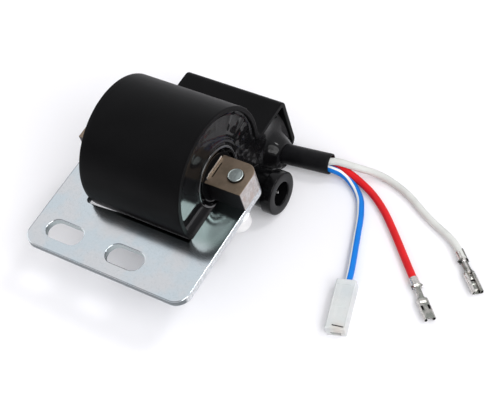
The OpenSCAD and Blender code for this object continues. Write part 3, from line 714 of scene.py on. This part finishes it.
# The gloss is a clear coat, worn off where the resin is a dull dusty grey: under the plate, beside the
# collar, over the core and along the box's wall.
def pottingResin():
    finish = Finish("pottingResin", Specular_IOR_Level=0.02, Coat_IOR=1.27, Coat_Roughness=0.05)
    cloud = finish.noise(7, 3)
    blotch = finish.noise(2.2, 3, 0.6)
    dust = finish.noise(0.25, 2).step(0.6, 0.78)
    across, up = finish.axis(1), finish.axis(2)
    under = (up.step(3.6, 2.4) - 0.6 * up.step(-0.4, -1.4)) * across.step(38, 30)
    beside = across.step(45, 50) * across.step(65, 60) * up.step(8, 2)
    stained = finish.distance((26.5, 30, 19)).step(11, 5)
    dull = across.step(68.5, 72.5) * up.step(-6, -11)
    base = finish.layers((0.003, 0.003, 0.0035), (cloud.step(0.35, 0.7), (0.005, 0.0045, 0.005)),
        (dust * 0.15, (0.05, 0.05, 0.05)), (dull * (0.5 + 0.5 * dust), (0.06, 0.058, 0.062)))
    worn = 0.93 * under + 0.9 * beside * blotch.step(0.58, 0.45) + 0.8 * dull + 0.45 * stained
    return finish.look(base, 0.3 + 0.1 * cloud + 0.15 * dust, blotch, 0.012, Coat_Weight=1 - worn)


# A square grid inside the wall and outside the collar, joined into triangles
def resinMesh(outer, dense, hole):
    grid = resinShape["grid"]
    low, high = dense.min(0), dense.max(0)
    y, z = np.meshgrid(np.arange(low[0], high[0], grid), np.arange(low[1], high[1], grid))
    y += (np.arange(len(y)) % 2)[:, None] * grid / 2
    cloud = pointsOf(y.ravel(), z.ravel())
    keep = insideLoop(cloud, outer) & (distanceTo(cloud, dense) > 0.45)
    points = np.vstack([outer, hole, cloud[keep & (fromCollar(cloud) > collar["outer"] + 0.25)]])
    n, m = len(outer), len(hole)
    edges = [(i, (i + 1) % n) for i in range(n)] + [(n + i, n + (i + 1) % m) for i in range(m)]
    made = delaunay_2d_cdt([Vector(p) for p in points], edges, [], 0, 1e-6)
    points, faces = np.array(made[0]), np.array([f for f in made[2] if len(f) == 3])
    middle = points[faces].mean(1)
    return points, faces[insideLoop(middle, outer) & (fromCollar(middle) > collar["outer"] - 0.06)]


outer, dense = (withPoints(caseLoop(wall - 0.03), step) for step in (0.7, 0.2))
hole = circleLoop(case["axisY"], collar["axisZ"], collar["outer"] - 0.05, 120)
flat, triangles = resinMesh(outer, dense, hole)
shape = Shape()
shape.add(atX(resinSurface(flat, dense), flat), triangles)
for loop in (outer, hole):
    face = resinSurface(loop, dense)
    shape.tube(np.stack([atX(face + (inner - face) * f, loop) for f in (0, 0.1, 0.5, 1)]))
shape.cap([outer, hole], lambda yz: atX(inner, yz))
shape.piece("pottingResin", pottingResin(), "black_resin", "resin", sharp=60)

# Outer bobbin: a tube with ribs between its chambers, whose end stands out of the resin as the collar
low, high, end = collar["inner"], collar["outer"], resinFace + collar["proud"]
bobbin = dict(x0=-7, x1=24.5, chambers=5, rib=1, ribR=14.5)
profile = [(low, bobbin["x0"]), *bend((low + 0.22, end - 0.22), 0.22, 180, 90, 5),
    *bend((high - 0.42, end - 0.42), 0.42, 90, 0, 6)]
r, rib = values(bobbin, "ribR rib")
for x in np.linspace(bobbin["x1"] - rib, bobbin["x0"], bobbin["chambers"] + 1):
    x1 = x + rib
    profile += [(high, x1), (r - 0.1, x1), (r, x1 - 0.1), (r, x + 0.1), (r - 0.1, x), (high, x)]
profile[-1] = profile[0]
shape = Shape()
shape.tube(turned(profile, (0, case["axisY"], collar["axisZ"]), (1, 0, 0), 96))
shape.piece("outerBobbin", blackMoulding("bobbinNylon", 0.05, 0.85), "bobbin_plastic", "secondary_bobbin")
print("resin poured")

# High tension socket: up the body, round the ring at the mouth, and down the bore
x0, x1, r, ringR, boreR, pinR = values(tower, "x0 x1 bodyR ringR boreR pinR")
ringX, deep, rim = x1 - tower["ring"], x1 - tower["bore"], 0.45
profile = [(pinR, x0), (r - 0.1, x0), (r, x0 + 0.1), (r, 28), *bend((r, 28.3), 0.3, -90, 0, 4)[1:],
    *bend((r, 28.5), 0.3, 0, 90, 4), (r, 29.2), (r, ringX - 0.35),
    *bend((ringR - rim, ringX + rim), rim, -90, 0, 5), *bend((ringR - 0.5, x1 - 0.5), 0.5, 0, 90, 6),
    *bend((boreR + rim, x1 - rim), rim, 90, 180, 5), (boreR, x1 - 3), (boreR - 0.02, deep + 0.4),
    (boreR - 0.3, deep), (pinR, deep), (pinR, x0)]
shape = Shape()
shape.tube(turned(profile, (0, tower["y"], tower["z"]), (1, 0, 0), 96))
shape.piece("tensionSocket", blackMoulding("socketMoulding", 0.12, 0.14), "black_plastic", "ht_tower")


# Soft tube, a little out of round, more so towards the cut end
def slack(r, x, around):
    give = 0.018 * np.sin(2 * around + 0.5) + 0.008 * np.sin(3 * around + x / 4)
    return r * (1 + give * np.clip(x / 28, 0, 1) - 0.02), x


# Sleeve
vinyl = patchy("sleeveVinyl", (0.0035, 0.0035, 0.0042), (0.006, 0.006, 0.007), (2.5, 3), (0.3, 3), (0.3, 0.7),
    (0.38, 0.1), (3, 1, 0.02), Specular_IOR_Level=0.14)
axis = sleeveMouth - sleeveFoot
long = float(np.linalg.norm(axis))
outerR, innerR, cut = sleeve["radius"], sleeve["radius"] - sleeve["wall"], 0.1
xs = np.linspace(0.2, long - 0.2, 24)
profile = [(innerR + cut, 0), (outerR - cut, 0), *pointsOf(outerR, xs), (outerR - 0.12, long),
    (innerR + cut, long), *pointsOf(innerR, xs[::-1]), (innerR + cut, 0)]
shape = Shape()
shape.tube(turned(profile, sleeveFoot, axis, 48, slack))
shape.piece("leadSleeve", vinyl, "black_pvc", "lead_sleeve")
print("socket and sleeve made")


# Terminals
# Pale walls and rolls, a duller flat side with faint stains, and painted shade: darker grey on some sides,
# black in the hollows
def tinnedBrass():
    finish = Finish("tinnedBrass", Metallic=1)
    mottle = finish.noise(0.9, 3, 0.55)
    stain = finish.noise(2.2, 3)
    flats = finish.layers((0.4, 0.385, 0.36), (stain.step(0.4, 0.62), (0.25, 0.26, 0.235)))
    # flat: 1 the duller flat side; 1 to 1.5 also painted shade on an open terminal's right rolls, crimp and
    # prong; 2 painted black shade in pits, gaps and insides
    kind = finish.attribute("flat")
    base = finish.layers((0.66, 0.63, 0.61), (mottle.step(0.4, 0.7), (0.45, 0.44, 0.41)),
        (kind.step(0.1, 0.9), flats), (kind.step(1.2, 1.8), (0.012, 0.011, 0.01)))
    return finish.look(base, 0.2 + 0.16 * mottle, mottle * 0.8 + finish.noise(0.15, 2) * 0.2, 0.03)


bladeSheet = dict(
    gripEnd=3, crimpStart=3.9, crimpEnd=7.2, boxStart=8.4, gripR=1.47, thick=0.22,
    bottom=([0, 3.4, 4.2, 7.2, 8.4], [-1.47, -1.47, -1.5, -1.5, -1.6]),
    ceiling=([0, 3.1, 3.72, 4.2, 7, 8.9, 16], [1.45, 1.45, 0.92, 0.85, 0.5, 0.1, 0.1]),
    lines=[0, 0.12, 0.35, 1, 1.6, 2.2, 2.65, 2.88, 2.95, 3.05, 3.15, 3.35, 3.6, 3.8, 3.9, 4, 4.1, 4.5,
        5, 5.5, 6, 6.5, 6.9, 7.05, 7.2, 7.35, 7.5, 7.7, 7.9, 8.1, 8.3, 8.5, 8.8, 9.1, 9.25, 9.35, 9.55,
        9.8, 10, 10.1, 10.4, 10.7, 10.8, 11, 11.3, 11.5, 11.6, 12, 13, 14, 14.6, 15.2, 15.75, 15.92,
        16])
terminalSetups = dict(
    blue=dict(wrap=150, legFrom=9, flatUp=True, roll=0, lift=0, shift=0, skew=0, squash=1),
    red=dict(wrap=165, legFrom=2.6, flatUp=True, roll=15, lift=0.42, shift=0.45, skew=0, squash=0.61),
    white=dict(wrap=158, legFrom=9, flatUp=False, roll=20, lift=0.5, shift=0.35, skew=0.7, squash=0.98))


# The outer skin: its bend depends on the place along the terminal and on the way out from its middle
# line. Summing bends gives slopes, and summing slopes gives places.
def foldedSkin(x, sides, wrap, legFrom):
    b, tongueWidth = bladeSheet, 1.2
    base = np.interp(x, *b["bottom"])
    atGrip = 1 - ease(x, b["gripEnd"] - 0.05, b["gripEnd"] + 0.12)
    atCrimp = ease(x, b["crimpStart"] - 0.1, b["crimpStart"] + 0.1)
    atBox = ease(x, b["crimpEnd"] + 0.1, b["boxStart"] + 0.1)
    corner = np.clip((0.35 - x) / 0.35, 0, 1) ** 2 + np.clip((x - b["gripEnd"] + 0.35) / 0.35, 0, 1) ** 2
    gripWidth = b["gripR"] * np.radians(wrap) - 0.5 * corner * (x < b["gripEnd"])
    crimpWidth = 3.5 - 1.1 * ease(x, b["crimpEnd"] - 0.3, b["crimpEnd"] + 0.3) + 2.6 * atBox
    width = tongueWidth + (gripWidth - tongueWidth) * atGrip + (crimpWidth - tongueWidth) * atCrimp
    d = np.linspace(0, 1, sides) * width
    grip = np.where(d < legFrom, 1 / b["gripR"], 1 / 12)
    crimp = np.where(d < 2.35, 1 / 1.12, 1 / 0.42)
    box = np.select([d < 1.45, d < 2.235, d < 2.885], [0, 1 / 0.5, 0], 1 / 0.55)
    bent = grip * (1 - atCrimp) * 0.3 + grip * atGrip * 0.7 + crimp * atCrimp * (1 - atBox) + box * atBox
    step = np.diff(d, axis=1, prepend=0)
    slope = np.cumsum(bent * step, axis=1) - bent * step / 2
    y, z = (np.cumsum(f(slope) * step, axis=1) for f in (np.cos, np.sin))
    half = pointsOf(x, y, z + base)
    return np.concatenate([half[:, :0:-1] * [1, -1, 1], half], 1)


# One terminal, pressed with pit, lip and hollow, turned over when its flat side is up, rolled a little,
# and set at the lead's end with its inner leaves and twisted strands
def makeTerminal(colour, setup):
    b, flatUp = bladeSheet, setup["flatUp"]
    openUp = not flatUp
    side = 1 if openUp else -1
    skin = foldedSkin(np.array(b["lines"])[:, None], 44, setup["wrap"], setup["legFrom"])
    x, y, z = np.moveaxis(skin.copy(), -1, 0)
    floor = (np.abs(y) < 1.5) & (z < -1.2)
    pit = floor & (np.abs(y) > 0.78) & (x > 10.9) & (x < 12.1)
    lance = (np.abs(y) < 1.12) & (x > 9.2) & (x < 10.02) & flatUp
    dimple = 0.3 * bell(np.hypot((x - 10.4) / 0.75, (y - 0.1) / 0.8), 1) * openUp
    lip = 0.1 * bell(np.hypot((x - 15.2) / 0.35, y / 1.2), 1)
    hollow = 0.07 * bell(np.hypot((x - 13) / 1.6, y), 1)
    press = np.where(floor, dimple + side * (lip - hollow), 0) - 0.84 * (x - 9.2) * lance * side
    skin[..., 2] += press * (x > 8.8) + 0.3 * pit
    skin[..., 0] -= setup["skew"] * ease(y, 0, 0.4) * ease(z, -1, 1) * (x < 3.05)
    end, axes = leadEnd(leadPaths[colour])
    roll = math.radians(setup["roll"])

    def turn(p):
        x, y, z = np.moveaxis(p, -1, 0)
        if flatUp:
            z = np.interp(x, *b["ceiling"]) + np.interp(x, *b["bottom"]) - z
        over = z * math.cos(roll) - y * math.sin(roll) + setup["lift"] * ease(x, 3, 9)
        over = np.where(over < -1, -1 + (over + 1) * setup["squash"], over)
        across = y * math.cos(roll) + z * math.sin(roll) + setup["shift"] * x / blade["length"]
        return pointsOf(x, across, over) @ axes + end

    # A thin leaf inside, of a height and width along it
    def leaf(x0, x1, columns, half, sides, height, width):
        x, y = np.meshgrid(np.linspace(x0, x1, columns), np.linspace(-half, half, sides), indexing="ij")
        addSheet(shape, pointsOf(x, y * width(x), height(x, y) - 1.25), 0.2, turn, 1)

    # flat values: painted shade on the right rolls, crimp and prong, painted black shade in the pits and inside
    outside = floor * ease(x, 2.9, 3.2) + (~floor & (y > 0.9) & (x > 8.8) & openUp) + pit
    outside += openUp * (1.4 * ((x > 3.6) & (x < 8.8)) + 1.5 * ((x < 3.05) & (y > 0) & (z > -0.4)))
    bare = floor & openUp & ((x < 10.8) | (x > 11.7))
    inside = np.where((x > 8.8) & ~bare, 2, 1)
    shape = Shape()
    addSheet(shape, skin, -b["thick"], turn, np.stack([outside, inside]))
    leaf(11.5, 15.3, 24, 0.86, 9, lambda x, y: 0.45 + 0.2 * bell(x - 12.4, 0.35) + 0.06 * bell(x - 14.6, 0.35)
        - 0.12 * y ** 2 - 0.35 * ease(x, 14.9, 15.3), lambda x: 1 - 0.5 * ease(x, 14.5, 15.3) ** 2)
    if openUp:
        leaf(7.1, 10.95, 36, 1.05, 19, lambda x, y: 0.6 * ease(x, 6.9, 9)
            + 0.34 * bell(np.hypot((x - 10.1) / 0.75, (y - 0.1) / 0.85), 1) ** 1.5,
            lambda x: 0.7 + 0.3 * ease(x, 7.4, 8.8))
    x, a = np.linspace(2.4, 8.3, 30)[:, None], circleAngles(24)
    r = (0.72 + 0.07 * np.cos(7 * (a + x * 0.9))) * (1 - 0.1 * ease(x, 7, 8.3))
    shape.rod(turn(pointsOf(x, r * np.cos(a), r * np.sin(a) * 0.9 - 0.35 * ease(x, 2.8, 4))))
    return shape.piece(colour + "Terminal", tinned, "tinned_metal", colour + "_terminal", sharp=40,
        attribute="flat")


tinned = tinnedBrass()
terminals = {colour: makeTerminal(colour, setup) for colour, setup in terminalSetups.items()}
print("terminals crimped")


# Nylon housing
housing = dict(width=6.6, length=18.3, height=4.6, back=-1.5, floor=0.65, edge=0.45, slit=dict(start=15.35,
    long=0.45, left=-1.3, right=2.75, slant=0.1))


# Across the housing: from its underside round to the top, and back
def housingLoop(half, low, high, edge):
    ys = np.array([2.9, 2.82, 2.76, 2.3, 2.1, 1.9, 1.62, 1.35, 1.1, 0.8, 0.4, 0])
    top = np.concatenate([ys, -ys[-2::-1]]) * half / 3.3
    right = np.vstack([bend((half - edge, low + edge), edge, -90, 0, 5), [(half, (low + high) / 2)],
        bend((half - edge, high - edge), edge, 0, 90, 5)])
    return np.vstack([right, pointsOf(top, high), right[::-1] * [-1, 1], [(-1.5, low), (0, low), (1.5, low)]])


# Milky and half clear, warmer at the front and cooler over the crimp; the slit painted black and opaque as
# shade
def milkyNylon(warmPlace, coolPlace):
    finish = patchy("milkyNylon", (0.8, 0.835, 0.84), (0.84, 0.85, 0.85), (5, 3), (0.4, 2), (0.35, 0.7),
        (0.28, 0.12), (3, 1, 0.03), Specular_IOR_Level=0.35)
    slit = finish.attribute("slit")
    warm = finish.distance(warmPlace).step(4.2, 0)
    cool = finish.distance(coolPlace).step(4.5, 0)
    base = finish.layers(finish.base, (warm * 0.6, (0.72, 0.63, 0.54)), (cool * 0.6, (0.7, 0.76, 0.8)),
        # painted shade: the slit's pocket painted black and opaque
        (slit.step(0.4, 0.6), (0.012, 0.012, 0.012)))
    return finish.set(Base_Color=base, Alpha=0.66 + 0.34 * slit + 0.06 * finish.patch)


# Outlines along the lead, rounded in at both ends, with fields, window and slit pressed into the top,
# and a stepped hollow inside
def makeHousing(path):
    h, cut = housing, housing["slit"]
    half, high = h["width"] / 2, h["height"]
    back, front = h["back"], h["back"] + h["length"]
    end, axes = leadEnd(path)
    leadSpace = leadR + blade["sheet"]
    turn = lambda p: p @ axes + end - [0, 0, leadSpace + h["floor"]]
    xs = np.array([-1.5, -1.4, -1.2, -0.5, 0.5, 0.6, 2, 3.4, 4.8, 4.9, 5.9, 5.98, 6.6, 6.68, 7.4, 7.48, 8.4,
        8.48, 9, 9.1, 10, 11, 12, 12.7, 12.8, 13.6, 14.4, 14.9, 15.15, 15.25,
        *np.linspace(15.3, 16, 15), 16.1, 16.3, 16.5, 16.65, 16.74, 16.8])
    inset = np.interp(xs, [-1.5, -1.4, -1.2, 0, 16.3, 16.5, 16.65, 16.74, 16.8],
        [0.2, 0.06, 0, 0, 0, 0.03, 0.1, 0.2, 0.4])
    skin = np.stack([atX(x, housingLoop(half - i, i, high - i, h["edge"] - min(i, 0.3)))
        for x, i in zip(xs, inset)])
    x, y = skin[..., 0], skin[..., 1]
    top = (skin[..., 2] > high - 0.1) & (np.abs(y) < 2.8)
    between = lambda v, a, b: (v > a) & (v < b)
    field = top & between(x, 0.55, 14.7)
    window = top & between(y, -1.2, 1.95) & between(x, 0.55, 4.85)
    ledge = top & between(y, -1.95, 1.2) & (between(x, 5.95, 6.62) | between(x, 7.44, 8.44))
    channel = top & between(y, -0.85, 1.95) & between(x, 9.05, 12.75)
    slit = top & between(y, cut["left"], cut["right"])
    slit &= between(x - cut["start"] - cut["slant"] * y, 0, cut["long"])
    skin[..., 2] -= 0.1 * field + 0.08 * window + 0.07 * channel - 0.07 * ledge + 0.66 * slit
    rows, stop = [], blade["length"] + 0.1
    for x0, x1, wide, tall in ((back, stop, 2.1, 2 * leadSpace), (stop, front, 1.7, 1.5)):
        loop = roundedBox(-wide, wide, h["floor"], h["floor"] + tall, 0.2, 3)
        rows += [atX(x, loop) for x in (x0, x1)]
    shape = Shape()
    shape.tube(turn(skin), slit)
    shape.tube(turn(np.stack(rows)))
    for row, x in ((0, back), (-1, front)):
        shape.cap([skin[row, :, 1:], rows[row][:, 1:]], lambda yz: turn(atX(x, yz)))
    nylon = milkyNylon(turn(np.array([front, 0.8, 3.4])), turn(np.array([3.2, 0.8, high])))
    return shape.piece("connectorHousing", nylon, "nylon", "connector_housing", sharp=30, attribute="slit")


housingPiece = makeHousing(leadPaths["blue"])


# Finishes of the CAD solids that stay
def plain(name, first, second, size, rough, metallic=0, stretch=(1, 1, 1)):
    return patchy(name, first, second, (size, 3, 0.5, stretch), (size * 0.15, 3), (0.35, 0.68), (rough, 0.12),
        (1, 0.5, 0.02), Metallic=metallic)


# Windings show their turns: a sine wave along the coil's axis.
def woundCopper(name, pitch):
    finish = Finish(name, Metallic=1)
    turns = finish.node("Math", {0: finish.axis(0) * (2 * math.pi / pitch)}, operation="SINE")
    patch = finish.noise(3, 3)
    base = finish.layers((0.62, 0.24, 0.1), (patch.step(0.35, 0.7), (0.46, 0.15, 0.06)))
    return finish.look(base, 0.3 + 0.1 * patch, turns, 0.05)


# Dull, with a shiny rim where it meets the outer bobbin's bore
def innerBobbin():
    finish = blackMoulding("innerBobbinNylon", 0.55, 0.02)
    across = finish.node("VectorMath", {0: finish.place, 1: (0, 1, 1)}, operation="MULTIPLY")
    fromAxis = finish.distance((0, case["axisY"], collar["axisZ"]), across)
    return finish.set(Coat_Roughness=0.08, Coat_Weight=0.8 * fromAxis.step(8.1, 8.3))


cadFinishes = dict(
    dome_stud=plain("studZinc", (0.94, 0.935, 0.92), (0.88, 0.875, 0.86), 2.5, 0.3, 1),
    ht_pin=plain("pinSteel", (0.6, 0.6, 0.58), (0.5, 0.5, 0.48), 1.5, 0.2, 1),
    primary_bobbin=innerBobbin(),
    primary_winding=woundCopper("primaryWire", 0.5),
    secondary_winding=woundCopper("secondaryWire", 0.2),
    ht_link=plain("linkCopper", (0.6, 0.25, 0.12), (0.45, 0.17, 0.08), 1.5, 0.3, 1),
    circuit_board=plain("boardLaminate", (0.03, 0.11, 0.035), (0.045, 0.14, 0.05), 2, 0.4,
        stretch=(1, 6, 1)),
    discharge_capacitor=plain("capacitorCase", (0.5, 0.12, 0.03), (0.42, 0.09, 0.02), 3, 0.3),
    thyristor=plain("thyristorBody", (0.012, 0.012, 0.013), (0.02, 0.02, 0.02), 1.5, 0.5),
    diodes=plain("diodeGlass", (0.02, 0.02, 0.022), (0.04, 0.035, 0.03), 1, 0.25),
    resistors=plain("resistorPaint", (0.42, 0.3, 0.16), (0.5, 0.37, 0.2), 1, 0.4),
    earth_link=plain("earthStrip", (0.55, 0.56, 0.55), (0.65, 0.65, 0.63), 1.5, 0.25, 1))
for node, finish in cadFinishes.items():
    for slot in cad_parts[node].material_slots:
        slot.material = finish.material
print("finishes set")


# Floor and light: floorZ in millimetres, the rest in metres. Each lamp has its direction from the part,
# its distance and width, and how bright its face is.
studio = dict(
    floorZ=-20.1, floorSize=1.6, paper=(0.9, 0.895, 0.93), floorGlow=0.08, fill=0.58, middle=(0.03, 0.03, 0),
    lamps=dict(
        softBoxRight=((0.743, -0.243, 0.716), 2.5, 1.6, 4.7),
        softBoxBack=((0.488, 0.395, 0.778), 2.5, 0.5, 14),
        softBoxLeft=((-0.85, -0.2, 0.48), 2.5, 1.9, 1.05)))


# Paper that looks white to whatever sees it directly
def addFloor(s):
    data = bpy.data.meshes.new("floor")
    corners = [(x * s["floorSize"], y * s["floorSize"], s["floorZ"] * mm)
        for x, y in ((-1, -1), (1, -1), (1, 1), (-1, 1))]
    data.from_pydata(corners, [], [(0, 1, 2, 3)])
    finish = Finish("paperSheet", Roughness=0.9, Specular_IOR_Level=0, Emission_Strength=s["floorGlow"])
    seen = finish.layers((0, 0, 0), (finish.rays("Camera", "Glossy", "Transmission"), (1, 1, 1)))
    tone = finish.layers([c - 0.01 for c in s["paper"]], (finish.noise(30, 2), s["paper"]))
    data.materials.append(finish.set(Base_Color=tone, Emission_Color=seen).material)
    addObject("floor", data)


# White to the camera; shiny surfaces see it pale at the back and dimmer in front.
def addWorld(fill):
    sky = Finish(bpy.data.worlds.new("studioWorld"), "Background")
    bpy.context.scene.world = sky.material
    towards = sky.node("SeparateXYZ", {0: sky.node("TexCoord", output="Generated")}, 1)
    glossy = sky.layers((0.34, 0.34, 0.36), (towards.step(-0.3, 0.4), (0.93, 0.94, 0.97)))
    sky.set(Color=sky.layers((fill, fill, fill), (sky.rays("Glossy"), glossy),
        (sky.rays("Camera", "Transmission"), (1, 1, 1))))


# Faces the part from a direction; the power follows from the face's brightness.
def addLamp(name, direction, distance, width, bright):
    data = bpy.data.lights.new(name, "AREA")
    data.size = width
    data.energy = bright * math.pi * width ** 2
    away = Vector(direction).normalized() * distance
    turn = (-away).to_track_quat("-Z", "Y").to_matrix().to_4x4()
    addObject(name, data).matrix_world = Matrix.Translation(Vector(studio["middle"]) + away) @ turn


addFloor(studio)
addWorld(studio["fill"])
for name, setup in studio["lamps"].items():
    addLamp(name, *setup)
bpy.context.scene.view_settings.view_transform = "Standard"
print("lit")
